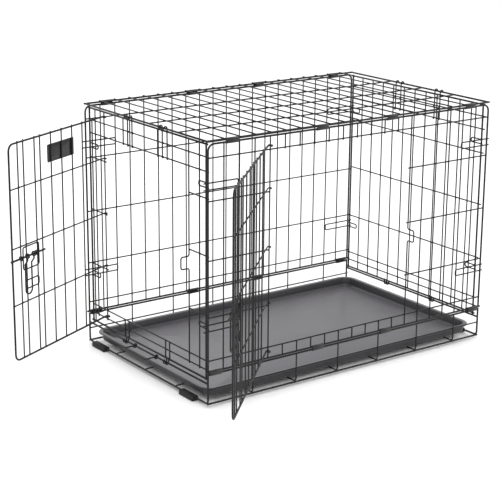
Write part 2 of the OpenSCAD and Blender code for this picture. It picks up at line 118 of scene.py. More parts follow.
# ---- surfaces, each worked out as whole arrays of points ----

def net(rows, cols, closed_rows=False, closed_cols=True, flip=False):
    """Four-cornered faces of a net of rows x cols points, row after row. A closed direction joins
    its last line of points to its first; flip turns the faces over."""
    i, k = np.meshgrid(np.arange(rows if closed_rows else rows - 1),
                       np.arange(cols if closed_cols else cols - 1), indexing="ij")
    n, j = (i + 1) % rows, (k + 1) % cols
    corners = [i * cols + k, i * cols + j, n * cols + j, n * cols + k]
    if flip:
        corners = corners[:1] + corners[:0:-1]
    return np.stack(corners, -1).reshape(-1, 4)


def fan(tip, ring, flip=False):
    """Triangles from a tip to each step of a closed ring of points, with the tip written twice."""
    after = np.roll(ring, -1)
    first, second = (after, ring) if flip else (ring, after)
    tips = np.full(len(ring), tip)
    return np.stack([tips, first, second, tips], -1)


def round_rings(half_x, half_y, inset, corner, least, step):
    """Rings of a rounded rectangle, one for each inset: corner centre + radius*(cos a, sin a), a in
    steps of degrees, where the radius is the corner's less the inset, and never under the least."""
    a = np.radians(np.arange(0, 360, step))
    quadrant = np.floor(a / (np.pi / 2) + 1e-9)
    sx = np.where((quadrant == 0) | (quadrant == 3), 1, -1)[:, None]
    sy = np.where(quadrant < 2, 1, -1)[:, None]
    radius = np.maximum(corner - inset, least)[None]
    x = (half_x - inset - radius) * sx + radius * np.cos(a)[:, None]
    y = (half_y - inset - radius) * sy + radius * np.sin(a)[:, None]
    return x, y


def bend_path(points, bend=0.0, steps=7):
    """Centre line of a wire: straight runs between the points, with each inner corner replaced by
    an arc, centre + bend*(sin a * u - cos a * w), a from 0 to the turn. u is the way in, and w is
    square to it on the inner side of the corner."""
    p = np.array(points, float)
    d = p[1:] - p[:-1]
    d /= np.linalg.norm(d, axis=1)[:, None]
    runs = [p[:1]]
    for k in range(1, len(p) - 1):
        u, v = d[k - 1], d[k]
        turn = math.acos(max(-1.0, min(1.0, float(u @ v))))
        if bend <= 0 or turn < 1e-3:
            runs.append(p[k:k + 1])
            continue
        w = v - (u @ v) * u
        w /= np.linalg.norm(w)
        centre = p[k] - u * bend * math.tan(turn / 2) + w * bend
        a = np.linspace(0, turn, steps)[:, None]
        runs.append(centre + bend * (np.sin(a) * u - np.cos(a) * w))
    runs.append(p[-1:])
    return np.concatenate(runs)


def arc_path(centre, a, b, radius, start, stop, steps=22):
    """Arc: centre + radius*(cos t * a + sin t * b), t from start to stop in degrees."""
    t = np.radians(np.linspace(start, stop, steps))[:, None]
    spokes = np.cos(t) * np.array(a, float) + np.sin(t) * np.array(b, float)
    return np.array(centre, float) + radius * spokes


def tube(path, d, sides=12, tip=0.35):
    """Round wire: a circle of diameter d carried along the path, square to its direction. At each
    end the circle shrinks over tip*radius and is closed to a point, like a cropped wire."""
    path = np.array(path, float)
    r = d / 2
    first, last = path[1] - path[0], path[-1] - path[-2]
    first, last = first / np.linalg.norm(first), last / np.linalg.norm(last)
    inner = path.copy()
    inner[0], inner[-1] = path[0] + first * tip * r, path[-1] - last * tip * r
    path = np.concatenate([path[:1], inner, path[-1:]])
    radii = np.full(len(path), r)
    radii[[0, -1]] = r * 0.66
    along = np.concatenate([[first], np.gradient(inner, axis=0), [last]])
    along = along / np.linalg.norm(along, axis=1)[:, None]
    across = np.cross(along, off_axis)
    across /= np.linalg.norm(across, axis=1)[:, None]
    up = np.cross(along, across)
    a = np.arange(sides) * 2 * np.pi / sides
    ring = np.cos(a)[None, :, None] * across[:, None] + np.sin(a)[None, :, None] * up[:, None]
    points = (path[:, None] + radii[:, None, None] * ring).reshape(-1, 3)
    start, q = len(points), np.arange(sides)
    faces = [net(len(path), sides), fan(start, q, flip=True), fan(start + 1, start - sides + q)]
    return np.concatenate([points, path[:1], path[-1:]]), np.concatenate(faces)


def wire(points, d, bend=0.0, sides=12):
    """Bent wire through the points."""
    return tube(bend_path(points, bend), d, sides)


def nuggets(places, size):
    """Weld nuggets: the same small ellipsoid at every place, half size * (cos lat * cos lon,
    cos lat * sin lon, sin lat), in four steps of latitude and eight of longitude."""
    places = np.array(places, float).reshape(-1, 3)
    lat = np.radians([-90, -38, 0, 38, 90])[:, None]
    lon = np.arange(8)[None] * np.pi / 4
    ball = np.stack([np.cos(lat) * np.cos(lon), np.cos(lat) * np.sin(lon), np.sin(lat) + 0 * lon], -1)
    ball = ball.reshape(-1, 3) * np.array(size)
    points = (places[:, None] + ball[None]).reshape(-1, 3)
    offsets = np.arange(len(places))[:, None, None] * len(ball)
    return points, (net(5, 8)[None] + offsets).reshape(-1, 4)


def turned(parts, degrees, at):
    """The parts turned about an upright axis through the origin, then carried to the place."""
    c, s = math.cos(math.radians(degrees)), math.sin(math.radians(degrees))
    spin = np.array([[c, s, 0], [-s, c, 0], [0, 0, 1]])
    return [(p @ spin + np.array(at), f) for p, f in parts]


def piece(name, parts, nodes, material, body=None):
    """One finished mesh from all its surfaces, standing for the CAD nodes named."""
    sizes = np.cumsum([0] + [len(p) for p, f in parts])
    points = np.concatenate([p for p, f in parts]) * MM
    faces = np.concatenate([f + o for (p, f), o in zip(parts, sizes)])
    shade = np.concatenate([np.full(len(p), (math.sin(11.7 * (k + 1)) * 43758.5) % 1.0)
                            for k, (p, f) in enumerate(parts)])
    lists = [tuple(f[:3]) if f[0] == f[3] or f[2] == f[3] else tuple(f) for f in faces.tolist()]
    mesh = bpy.data.meshes.new(name)
    mesh.from_pydata(points.tolist(), [], lists)
    mesh.attributes.new("shade", "FLOAT", "POINT").data.foreach_set("value", shade.astype(np.float32))
    mesh.validate()
    mesh.polygons.foreach_set("use_smooth", np.ones(len(mesh.polygons), bool))
    mesh.materials.append(material)
    mesh.update()
    obj = bpy.data.objects.new(name, mesh)
    bpy.context.scene.collection.objects.link(obj)
    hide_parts(*nodes)
    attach(obj, body or "frame")
    return obj


# ---- finishes ----

def finish_of(name, colours, rough, bump, scales, specular=0.5, coat=0.0, coat_rough=0.3,
              painted_lit_tone=None):
    """Procedural finish: cloudy colour between two tones, a per-wire shade, rubbed lighter spots,
    fine and coarse grain in the roughness and the bump. Scales are cells per metre.
    painted_lit_tone is painted light: a lighter tone on faces that lie level and face up, for the
    light that falls on them."""
    mat = bpy.data.materials.new(name)
    mat.use_nodes = True
    tree = mat.node_tree
    tree.nodes.clear()

    def node(kind, **values):
        n = tree.nodes.new(kind)
        for key, value in values.items():
            setattr(n, key, value)
        return n

    def noise(scale, detail, roughness=0.55):
        n = node("ShaderNodeTexNoise")
        n.inputs["Scale"].default_value = scale
        n.inputs["Detail"].default_value = detail
        n.inputs["Roughness"].default_value = roughness
        tree.links.new(coords.outputs["Object"], n.inputs["Vector"])
        return n.outputs["Fac"]

    def spread(value, low, high, a, b):
        n = node("ShaderNodeMapRange")
        tree.links.new(value, n.inputs["Value"])
        for key, v in zip(("From Min", "From Max", "To Min", "To Max"), (low, high, a, b)):
            n.inputs[key].default_value = v
        return n.outputs["Result"]

    def blend(factor, a, b):
        n = node("ShaderNodeMix", data_type="RGBA")
        tree.links.new(factor, n.inputs["Factor"])
        for socket, c in ((n.inputs["A"], a), (n.inputs["B"], b)):
            if isinstance(c, tuple):
                socket.default_value = (*c, 1.0)
            else:
                tree.links.new(c, socket)
        return n.outputs["Result"]

    def total(a, b, kind="ADD"):
        n = node("ShaderNodeMath", operation=kind)
        for socket, v in zip(n.inputs, (a, b)):
            if isinstance(v, (int, float)):
                socket.default_value = v
            else:
                tree.links.new(v, socket)
        return n.outputs["Value"]

    coords = node("ShaderNodeTexCoord")
    shade = node("ShaderNodeAttribute", attribute_name="shade")
    dark, light, worn = colours
    cloud = noise(scales[0], 3.0)
    grain = noise(scales[1], 6.0, 0.62)
    fine = noise(scales[2], 4.0)
    tone = total(spread(cloud, 0.32, 0.68, 0.0, 0.7), spread(shade.outputs["Fac"], 0.0, 1.0, 0.0, 0.3))
    base = blend(tone, dark, light)
    rubbed = spread(grain, 0.62, 0.74, 0.0, 0.55)
    # Painted light: faces that face up are blended towards a lighter tone, for the light that falls on them.
    if painted_lit_tone:
        facing = node("ShaderNodeSeparateXYZ")
        tree.links.new(node("ShaderNodeNewGeometry").outputs["Normal"], facing.inputs["Vector"])
        base = blend(spread(facing.outputs["Z"], 0.9, 0.999, 0.0, 1.0), base, painted_lit_tone)
    shader = node("ShaderNodeBsdfPrincipled")
    tree.links.new(blend(rubbed, base, worn), shader.inputs["Base Color"])
    gloss = total(spread(grain, 0.3, 0.7, rough[0], rough[1]), spread(cloud, 0.3, 0.7, -0.04, 0.05))
    tree.links.new(gloss, shader.inputs["Roughness"])
    shader.inputs["Specular IOR Level"].default_value = specular
    shader.inputs["Coat Weight"].default_value = coat
    shader.inputs["Coat Roughness"].default_value = coat_rough
    relief = node("ShaderNodeBump")
    relief.inputs["Strength"].default_value = bump[0]
    relief.inputs["Distance"].default_value = bump[1]
    height = total(total(grain, 0.6, "MULTIPLY"), total(fine, 0.4, "MULTIPLY"))
    tree.links.new(height, relief.inputs["Height"])
    tree.links.new(relief.outputs["Normal"], shader.inputs["Normal"])
    out = node("ShaderNodeOutputMaterial")
    tree.links.new(shader.outputs["BSDF"], out.inputs["Surface"])
    return mat


black_wire = finish_of(
    "satin_black_wire",
    colours=((0.003, 0.003, 0.0033), (0.0075, 0.0075, 0.008), (0.02, 0.02, 0.021)),
    rough=(0.36, 0.52), bump=(0.35, 0.00012), scales=(14, 420, 2600),
    specular=0.24, coat=0.04, coat_rough=0.2)
black_rod = finish_of(
    "rubbed_black_rod",
    colours=((0.004, 0.004, 0.0045), (0.01, 0.01, 0.0105), (0.04, 0.04, 0.042)),
    rough=(0.3, 0.46), bump=(0.3, 0.0001), scales=(20, 500, 3000),
    specular=0.3, coat=0.06, coat_rough=0.18)
black_sheet = finish_of(
    "satin_black_sheet",
    colours=((0.004, 0.004, 0.0044), (0.008, 0.008, 0.0085), (0.025, 0.025, 0.026)),
    rough=(0.22, 0.34), bump=(0.25, 0.0001), scales=(25, 380, 2400),
    specular=0.35, coat=0.2, coat_rough=0.12)
# The pan's faces that lie level and face up, its floor above all, get a painted highlight: a lighter tone
# for the light that falls on them.
pan_plastic = finish_of(
    "moulded_dark_pan",
    colours=((0.03, 0.029, 0.032), (0.038, 0.0365, 0.04), (0.115, 0.11, 0.12)),
    rough=(0.3, 0.44), bump=(0.5, 0.00018), scales=(5, 900, 3200),
    specular=0.4, coat=0.12, coat_rough=0.3, painted_lit_tone=(0.1, 0.096, 0.106))
foot_rubber = finish_of(
    "matt_black_sleeve",
    colours=((0.007, 0.007, 0.0075), (0.013, 0.013, 0.0135), (0.032, 0.031, 0.03)),
    rough=(0.55, 0.75), bump=(0.5, 0.0002), scales=(30, 700, 2600), specular=0.3)
plate_gloss = finish_of(
    "semi_gloss_plate",
    colours=((0.006, 0.006, 0.0065), (0.011, 0.011, 0.0115), (0.025, 0.025, 0.026)),
    rough=(0.24, 0.34), bump=(0.12, 0.00008), scales=(9, 300, 2000),
    specular=0.3, coat=0.1, coat_rough=0.15)


# ---- base ----

def col_x(i):
    """Place along the crate of upright i, counted from the left corner."""
    return -plane_x + i * bay


def base_frame():
    """Floor wires bent up at both long sides into the lip, long runners and the lip's rows."""
    parts, runner_welds, lip_welds = [], [], []
    for i in base_cols:
        edge = i in (0, 20)
        z, d = (floor_z, thick) if edge else (cross_z, thin)
        x = col_x(i)
        parts.append(wire([[x, -plane_y, lip_z + 1], [x, -plane_y, z], [x, plane_y, z],
                           [x, plane_y, lip_z + 1]], d, 8))
        if not edge:
            runner_welds += [[x, y, (cross_z + runner_z) / 2] for y in runner_ys]
    for y in runner_ys:
        parts.append(wire([[-plane_x, y, runner_z], [plane_x, y, runner_z]], thin))
    for s in (-1, 1):
        for y, z, d in ((plane_y, floor_z, thick), (plane_y, lip_z, thick),
                        (plane_y - layer, lip_mid_z, thin)):
            parts.append(wire([[-plane_x - 2, s * y, z], [plane_x + 2, s * y, z]], d))
        lip_welds += [[col_x(i), s * (plane_y - layer / 2), lip_mid_z] for i in base_cols]
    parts.append(nuggets(runner_welds, runner_weld))
    parts.append(nuggets(lip_welds, lip_weld))
    return parts


def foot_sleeve(x, y):
    """Sleeve on a floor wire: a rounded outline with a flat underside, carried along y as rings of
    centre + share*(outline - centre). The share falls at both ends, so they are rounded over, and
    they stay open round the wire."""
    w, r = foot_half_w, foot_corner
    crown_z = floor_z + thick / 2 + foot_cover - r
    t = np.radians(np.linspace(0, 180, 13))
    crown = np.stack([np.where(np.cos(t) > 0, w - r, r - w) + r * np.cos(t), crown_z + r * np.sin(t)], -1)
    sole = np.array([[-w, sole_edge], [-w + sole_edge, 0.0], [w - sole_edge, 0.0], [w, sole_edge]])
    outline = np.concatenate([crown, sole])
    centre = np.array([0, floor_z])
    lengths = np.array([-0.5, -0.5, -0.487, -0.46, 0.46, 0.487, 0.5, 0.5]) * foot_l
    share = np.array([0.28, 0.8, 0.95, 1.0, 1.0, 0.95, 0.8, 0.28])
    loops = centre + share[:, None, None] * (outline - centre)[None]
    along = y + lengths[:, None] + 0 * loops[..., 0]
    points = np.stack([x + loops[..., 0], along, loops[..., 1]], -1).reshape(-1, 3)
    return points, net(len(lengths), len(outline), flip=True)


# ---- pan ----

def pan_shell():
    """Pan: a section of inset and height points, carried round a rounded rectangle whose corner
    radius shrinks with the inset; a fan closes the middle below and another above."""
    half_x = plane_x - thick / 2 - pan_play_x
    half_y = plane_y - layer - thin / 2 - pan_play_y
    top, wall, rim = pan_h, pan_wall, pan_rim
    well = rim + wall

    def arc(cx, cz, rad, a, b, n=5):
        t = np.radians(np.linspace(a, b, n))
        return np.stack([cx - rad * np.cos(t), cz + rad * np.sin(t)], -1)

    section = np.concatenate([
        [[rim + 26.0, 0.6], [rim + 20.0, 0.0], [rim + 9.0, 0.0]],
        arc(rim + 6.0, 6.0, 6.0, -90, 0),
        [[rim, top - 4.2], [rim - 0.8, top - 3.2], [1.8, top - 3.2]],
        arc(1.6, top - 1.6, 1.6, -90, 90, 7),
        arc(rim - 0.4, top - 1.8, 1.8, 90, 172),
        [[well + 0.1, top - 6.0], [well + 0.9, wall + 8.0]],
        arc(well + 6.2, wall + 5.0, 5.2, 8, -80, 6),
        [[well + 11.0, wall - 0.2], [well + 12.4, wall + 0.2], [well + 13.6, wall + 1.6],
         [well + 15.2, wall + 2.0]],
    ])
    x, y = round_rings(half_x, half_y, section[:, 0], pan_corner, 6.0, 7.5)
    z = np.broadcast_to(pan_z + section[:, 1], x.shape)
    n, m = x.shape
    points = np.stack([x, y, z], -1).reshape(-1, 3)
    under, q = len(points), np.arange(n) * m
    points = np.concatenate([points, [[0, 0, pan_z + 0.6], [0, 0, pan_z + wall + 2.0]]])
    faces = [net(n, m, True, False, flip=True), fan(under, q, flip=True), fan(under + 1, q + m - 1)]
    return points, np.concatenate(faces)


def pan_stop():
    """Pan stop: two loops round the left end rail, centre + hook_r*(cos t * x + sin t * z), and the
    bail between them, turned out level; it reaches to half the pan's height when it hangs."""
    x, reach = -plane_x, rail_z - pan_z - pan_h / 2
    parts = [tube(arc_path([x, s * stop_half, rail_z], [1, 0, 0], [0, 0, 1], hook_r, 0, 352.5, 40), thin)
             for s in (-1, 1)]
    parts.append(wire([[x - hook_r, -stop_half, rail_z], [x - reach, -stop_half, rail_z],
                       [x - reach, stop_half, rail_z], [x - hook_r, stop_half, rail_z]], thin, 5))
    return parts


# ---- long sides, roof and ends ----

def grid_welds(xs, y, zs):
    """A nugget at every crossing of the columns xs with the rows zs, in the plane at y."""
    return nuggets([[x, y, z] for x in xs for z in zs], side_weld)


def keeper(z, reach=20.0, tall=36.0):
    """Corner points of a latch upright's bow round the bolt at height z: out by reach towards -Y,
    up past the bolt and back, on an upright that stands at the origin."""
    end, bow = tall / 2 + 1, tall / 2 - 5
    return [[0, 0, z - end], [0, 0, z - bow], [0, -reach, z - bow],
            [0, -reach, z + bow], [0, 0, z + bow], [0, 0, z + end]]


def long_side(side):
    """A long wall: bent edge wire, uprights outside and cross wires inside; the front one leaves
    the door opening free and its latch upright bows out round the bolt."""
    y, inner, tail = side * plane_y, side * (plane_y - layer), thick / 2 + 0.3
    parts = [wire([[-plane_x, y, side_low - tail], [-plane_x, y, side_top], [plane_x, y, side_top],
                   [plane_x, y, side_low - tail]], thick, corner_bend),
             wire([[-plane_x - 6, y, side_low], [plane_x + 6, y, side_low]], thick)]
    door_cols = range(hinge_bay + 1, latch_bay) if side < 0 else []
    for i in range(1, 20):
        x = col_x(i)
        if i in door_cols:
            parts.append(wire([[x, y, side_rows[4] - stub], [x, y, side_top]], thin))
            parts.append(wire([[x, y, side_low], [x, y, side_rows[0] + stub]], thin))
        elif side < 0 and i == latch_bay:
            bow = np.array(keeper(front_bolt_z)) + [x, y, 0]
            parts.append(wire(np.concatenate([[[x, y, side_low]], bow, [[x, y, side_top]]]), thin, 4.5))
        else:
            parts.append(wire([[x, y, side_low], [x, y, side_top]], thin))
    for k, z in enumerate(side_rows):
        if side < 0 and 0 < k < 4:
            parts.append(wire([[-plane_x - past, inner, z], [col_x(hinge_bay) + past, inner, z]], thin))
            parts.append(wire([[col_x(latch_bay) - past, inner, z], [plane_x + past, inner, z]], thin))
        else:
            parts.append(wire([[-plane_x - past, inner, z], [plane_x + past, inner, z]], thin))
    mid = side * (plane_y - layer / 2)
    whole = [col_x(i) for i in range(0, 21) if i not in door_cols]
    parts.append(grid_welds(whole, mid, side_rows))
    if side < 0:
        parts.append(grid_welds([col_x(i) for i in door_cols], mid, [side_rows[0], side_rows[4]]))
    return parts


def roof():
    """Roof: thick wires round the edge, three thin ones lengthways and one across at each bay. The
    lengthways ones stand a third apart of what four end pitches leave of the width."""
    rest = (2 * plane_y - 4 * end_pitch) / 3
    rows = [-plane_y + k * rest for k in (1, 2, 3)]
    bays = [col_x(i) for i in range(1, 20)]
    high = top_z + layer
    parts = [wire([[-plane_x - past, s * plane_y, top_z], [plane_x + past, s * plane_y, top_z]], thick)
             for s in (-1, 1)]
    parts += [wire([[s * plane_x, -plane_y, top_z], [s * plane_x, plane_y, top_z]], thick) for s in (-1, 1)]
    parts += [wire([[-plane_x, y, top_z], [plane_x, y, top_z]], thin) for y in rows]
    parts += [wire([[x, -plane_y - past, high], [x, plane_y + past, high]], thin) for x in bays]
    parts.append(nuggets([[x, y, top_z + layer / 2] for x in bays for y in [-plane_y, plane_y] + rows],
                         roof_weld))
    return parts


def left_end():
    """The end with a door: two stiles, header and sill, with the keeper bowed out of a stile."""
    x, inner = -end_plane, -(end_plane - layer)
    half = end_opening / 2
    parts = [wire([[x, s * end_edge, end_low - past], [x, s * end_edge, end_top + past]], thick)
             for s in (-1, 1)]
    parts += [wire([[x, -end_tip, z], [x, end_tip, z]], thick) for z in (end_low, end_top)]
    for z in sill_rows + head_rows:
        parts.append(wire([[inner, -end_tip, z], [inner, end_tip, z]], thin))
    for z in mid_rows:
        for s in (-1, 1):
            parts.append(wire([[inner, s * (half - past), z], [inner, s * end_tip, z]], thin))
    low = sill_rows[0] - stub
    for y in (-half - end_pitch, half, half + end_pitch):
        parts.append(wire([[x, y, low], [x, y, end_top]], thin))
    bow = np.array(keeper(end_bolt_z))[:, [1, 0, 2]] + [x, -half, 0]
    parts.append(wire(np.concatenate([[[x, -half, low]], bow, [[x, -half, end_top]]]), thin, 4.5))
    header = [s * hook_y - hook_span / 2 + header_set for s in (-1, 1)]
    parts += [wire([[x, y, head_rows[0] - stub], [x, y, end_top]], thin) for y in header]
    sill = [s * link_y + t * sill_set for s in (-1, 1) for t in (-1, 1)]
    parts += [wire([[x, y, end_low], [x, y, sill_rows[1] + stub]], thin) for y in sill]
    mid = -(end_plane - layer / 2)
    stiles = [s * v for s in (-1, 1) for v in (half, half + end_pitch, end_edge)]
    parts.append(nuggets([[mid, y, z] for y in stiles for z in sill_rows + mid_rows + head_rows], end_weld))
    parts.append(nuggets([[mid, y, z] for y in header for z in head_rows], end_weld))
    parts.append(nuggets([[mid, y, z] for y in sill for z in sill_rows], end_weld))
    return parts


def right_end():
    """The plain end: thick wires round the edge, cross wires outside and uprights one end pitch
    apart, as many each way from the middle as fit inside the edge."""
    x, outer = end_plane, end_plane + layer
    n = int((end_edge - 12) // end_pitch)
    cols = [i * end_pitch for i in range(-n, n + 1)]
    rows = sill_rows + mid_rows + head_rows
    parts = [wire([[x, s * end_edge, end_low - past], [x, s * end_edge, end_top + past]], thick)
             for s in (-1, 1)]
    parts += [wire([[x, -end_tip, z], [x, end_tip, z]], thick) for z in (end_low, end_top)]
    parts += [wire([[outer, -end_tip, z], [outer, end_tip, z]], thin) for z in rows]
    parts += [wire([[x, y, end_low], [x, y, end_top]], thin) for y in cols]
    parts.append(nuggets([[x + layer / 2, y, z] for y in cols + [-end_edge, end_edge] for z in rows],
                         end_weld))
    return parts


def hooks(side):
    """Spring hooks: one wire each, from a leg over the roof's end wire, across and back."""
    x, far, up = side * end_plane, side * (plane_x + hook_r), top_z + hook_r
    low, legs = top_z - 2, head_rows[0] - stub
    parts, welds = [], []
    for s in (-1, 1):
        a, b = s * hook_y - hook_span, s * hook_y
        parts.append(wire([[x, a, legs], [x, a, up], [far, a, up], [far, a, low], [far, b, low],
                           [far, b, up], [x, b, up], [x, b, legs]], thin, hook_r - 0.2))
        welds += [[x - side * layer / 2, y, z] for y in (a, b) for z in head_rows]
        welds += [[x, y, end_top] for y in (a, b)]
    parts.append(nuggets(welds, hook_weld))
    return parts


def rings(side):
    """Links that hang an end on the base rail: an arc round the rail, centre + hook_r*(cos t * in +
    sin t * down), with a leg up to the end."""
    parts = []
    for y in [s * link_y + t * link_set for s in (-1, 1) for t in (-1, 1)]:
        link = arc_path([side * plane_x, y, rail_z], [-side, 0, 0], [0, 0, -1], hook_r, 268, 0, 30)
        parts.append(tube(np.concatenate([link, [[side * end_plane, y, end_low + past]]]), thin))
    return parts


def catches(side):
    """Small level loops at an end's corners, each one wire bent in, up and back out."""
    x, half, parts = side * (end_plane - layer), catch_h / 2, []
    for s in (-1, 1):
        near, deep = s * end_tip, s * (end_tip - catch_l)
        for z in catch_rows:
            parts.append(wire([[x, near, z - half], [x, deep, z - half], [x, deep, z + half],
                               [x, near, z + half]], thin, 4))
            parts.append(nuggets([[x + side * layer / 2, s * end_edge, z + t * half] for t in (-1, 1)],
                                 end_weld))
    return parts


def hairpins(side):
    """Hairpins on a long side: from past the corner in along the wall, up and back out."""
    y, half, parts = side * (plane_y - layer), pin_h / 2, []
    for s in (-1, 1):
        a, b = s * (plane_x + pin_out), s * (plane_x - pin_in)
        for z in catch_rows:
            parts.append(wire([[a, y, z - half], [b, y, z - half], [b, y, z + half], [a, y, z + half]],
                              thin, 4))
            parts.append(nuggets([[s * v, side * (plane_y - layer / 2), z + t * half]
                                  for v in (plane_x, plane_x - bay) for t in (-1, 1)], side_weld))
    return parts


def clips(side, z, end_x, length=30.0, sheet=1.2):
    """Sheet clips: a C section, outer half circles over both wires and back along the inside, with
    rounded lips, carried along x; the end rings shrink a little, so the edges are eased."""
    r = thick / 2 + 0.15
    big, lip, curl = r + sheet, 1.2, 0.2
    t = np.radians(np.linspace(0, 180, 13))[1:-1]

    def half_circle(across, middle, up):
        return np.stack([across * np.cos(t), middle + up * np.sin(t)], -1)

    outer = np.concatenate([[[-big, lip + curl], [-big, 0]], half_circle(-big, 0, -big),
                            [[big, 0], [big, gap]], half_circle(big, gap, big),
                            [[-big, gap], [-big, gap - lip - curl]]])
    inner = np.concatenate([[[-r - curl, gap - lip], [-r, gap]], half_circle(-r, gap, r),
                            [[r, gap], [r, 0]], half_circle(r, 0, -r), [[-r, 0], [-r - curl, lip]]])
    outline = np.concatenate([outer, inner])
    away = outline - [0.0, gap / 2]
    away = away / np.linalg.norm(away, axis=1)[:, None]
    ease = np.where(np.arange(len(outline)) < len(outer), -0.35, 0.0)[:, None] * away
    g = outline + np.array([1, 0, 0, 1])[:, None, None] * ease
    lengths = np.array([-0.5, -0.485, 0.485, 0.5]) * length
    n, m = len(lengths), len(outline)

    a = np.arange(len(outer) - 1)
    b, w, last = m - 1 - a, m - 2 - a, (n - 1) * m
    start = np.stack([a, b, w, a + 1], -1)
    end = np.stack([last + a, last + a + 1, last + w, last + b], -1)
    faces = np.concatenate([net(n, m), start, end])
    if side > 0:
        faces = faces[:, ::-1]
    parts = []
    for x in (-end_x, -2.5 * bay, 2.5 * bay, end_x):
        along = x + lengths[:, None] + 0 * g[..., 0]
        points = np.stack([along, side * (plane_y + g[..., 0]), z + g[..., 1]], -1)
        parts.append((points.reshape(-1, 3), faces))
    return parts


# ---- doors: made shut, along +X from the hinge wire, outside towards -Y ----

def door(opening, pitch, latch, rails):
    """Door grid: bent edge wire with its tails turned round the hinge wire, cross wires ending in
    eyes, uprights on the outside. An eye is hinge + radius*(cos t * x + sin t * y)."""
    edge, low, high = opening + door_lap, rails[0], rails[4]

    def eye(z, radius, start, stop):
        return arc_path([0, 0, z], [1, 0, 0], [0, 1, 0], radius, start, stop, 24)

    frame_wire = bend_path([[1, -edge_n, low], [edge, -edge_n, low], [edge, -edge_n, high],
                            [1, -edge_n, high]], corner_bend)
    parts = [tube(np.concatenate([eye(low, edge_n, 0, eye_turn), frame_wire,
                                  eye(high, edge_n, eye_turn, 0)]), thick)]
    for z in rails[1:4]:
        cross = [[1, -rail_n, z], [edge + past, -rail_n, z]]
        parts.append(tube(np.concatenate([eye(z, rail_n, 0, eye_turn), cross]), thin))
    cols = [latch + i * pitch for i in range(-int((latch - 20) // pitch), 2) if i]
    cols += [latch - pitch / 2, latch + pitch / 2]
    parts += [wire([[s, -upright_n, low - past], [s, -upright_n, high + past]], thin) for s in cols]
    mid, edge_mid = -(rail_n + upright_n) / 2, -(edge_n + upright_n) / 2
    parts.append(nuggets([[s, mid, z] for s in cols + [edge] for z in rails[1:4]], side_weld))
    parts.append(nuggets([[s, edge_mid, z] for s in cols for z in (low, high)], edge_weld))
    return parts


def guide(latch, z):
    """Bolt guide: a rectangle of wire welded on the uprights, its sides curled round the rod."""
    a, b, h = latch - guide_l / 2, latch + guide_l / 2, guide_h / 2
    parts = [tube(arc_path([s, -rod_n, z], [0, 1, 0], [0, 0, 1], guide_r, 0, 352, 36), thin) for s in (a, b)]
    for t in (-1, 1):
        parts.append(wire([[a, -weld_n, z], [a, -weld_n, z + t * h], [b, -weld_n, z + t * h],
                           [b, -weld_n, z]], thin, 5))
    parts.append(nuggets([[latch + k * bay / 2, -(upright_n + weld_n) / 2, z + t * h]
                          for k in (-1, 1) for t in (-1, 1)], side_weld))
    return parts


def staple(latch, z):
    """Handle rest: a flat U of wire below the bolt, welded on the two uprights beside it."""
    a, b = latch - guide_l / 2 + 2, latch + guide_l / 2 - 6
    high, low = z - rest_high, z - rest_low
    return [wire([[b, -weld_n, high], [a, -weld_n, high], [a, -weld_n, low], [b, -weld_n, low]], thin, 5),
            nuggets([[latch + k * bay / 2, -(upright_n + weld_n) / 2, v]
                     for k in (-1, 1) for v in (high, low)], side_weld)]


def bolt(latch, opening, z):
    """Slide bolt: a rod with a rounded nose and two pressed collars beside the handle."""
    tip, tail = opening - thin / 2 - 1.5, latch - 57
    a = latch - guide_l / 2 + 10
    parts = [tube([[tail, -rod_n, z], [tip, -rod_n, z]], bolt_d, 20, tip=0.6)]
    for s in (a + bail_d / 2 + 0.3, a + handle_w - bail_d / 2 - 2.3):
        parts.append(tube([[s, -rod_n, z], [s + 2, -rod_n, z]], bolt_d + 2.2, 20, tip=0.2))
    return parts


def handle(latch, z):
    """Bail: both ends curled round the rod, legs that jog outwards, and a half round at the
    bottom."""
    a = latch - guide_l / 2 + 10
    b = a + handle_w
    n, jog = rod_n, rod_n + handle_jog

    def leg(s):
        return [[s, -n, z - eye_r], [s, -n, z - 10], [s, -jog, z - 19], [s, -jog, z - 24]]

    down, back = bend_path(leg(a), 5), bend_path(leg(b)[::-1], 5)
    drop = bend_path([[a, -jog, z - 22], [a, -jog, z - handle_drop], [b, -jog, z - handle_drop],
                      [b, -jog, z - 22]], handle_w / 2 - 0.5, 14)
    parts = [tube(arc_path([s, -rod_n, z], [0, 1, 0], [0, 0, 1], eye_r, -90, eye_turn, 36), bail_d)
             for s in (a, b)]
    return parts + [tube(np.concatenate([down[:-1], drop[1:-1], back[1:]]), bail_d)]


def plate():
    """Blank name plate: a rounded rectangle with a raised border, as a section of inset and depth
    points carried round it, and four domed rivets."""
    s0, n, t = 4 * end_pitch, upright_n + thin / 2, plate_t
    half_w, half_h, sunk = plate_w / 2, plate_h / 2, plate_t - 0.55
    section = np.array([[1.0, 0.0], [0.0, 0.3], [0.0, t - 0.5], [0.4, t - 0.1], [0.9, t], [3.2, t],
                        [3.7, t - 0.15], [4.1, t - 0.5], [5.0, sunk]])
    x, z = round_rings(half_w, half_h, section[:, 0], plate_corner, 0.6, 15)
    y = np.broadcast_to(-n - section[:, 1], x.shape)
    k, m = x.shape
    points = np.stack([s0 + x, y, plate_z + z], -1).reshape(-1, 3)
    back, q = len(points), np.arange(k) * m
    points = np.concatenate([points, [[s0, -n, plate_z], [s0, -n - sunk, plate_z]]])
    faces = [net(k, m, True, False, flip=True), fan(back, q, flip=True), fan(back + 1, q + m - 1)]
    rivets = [[s0 + ds * (half_w - 5), -n - t + 0.4, plate_z + dz * (half_h - 8)]
              for ds in (-1, 1) for dz in (-1, 1)]
    return [(points, np.concatenate(faces)), nuggets(rivets, (1.8, 1.3, 1.8))]


front_latch = front_opening + door_lap - latch_set
end_latch = end_opening + door_lap - latch_set
front_place = (-135.7, (col_x(hinge_bay), -plane_y, 0))
end_place = (-154.0, (-end_plane, end_opening / 2, 0))

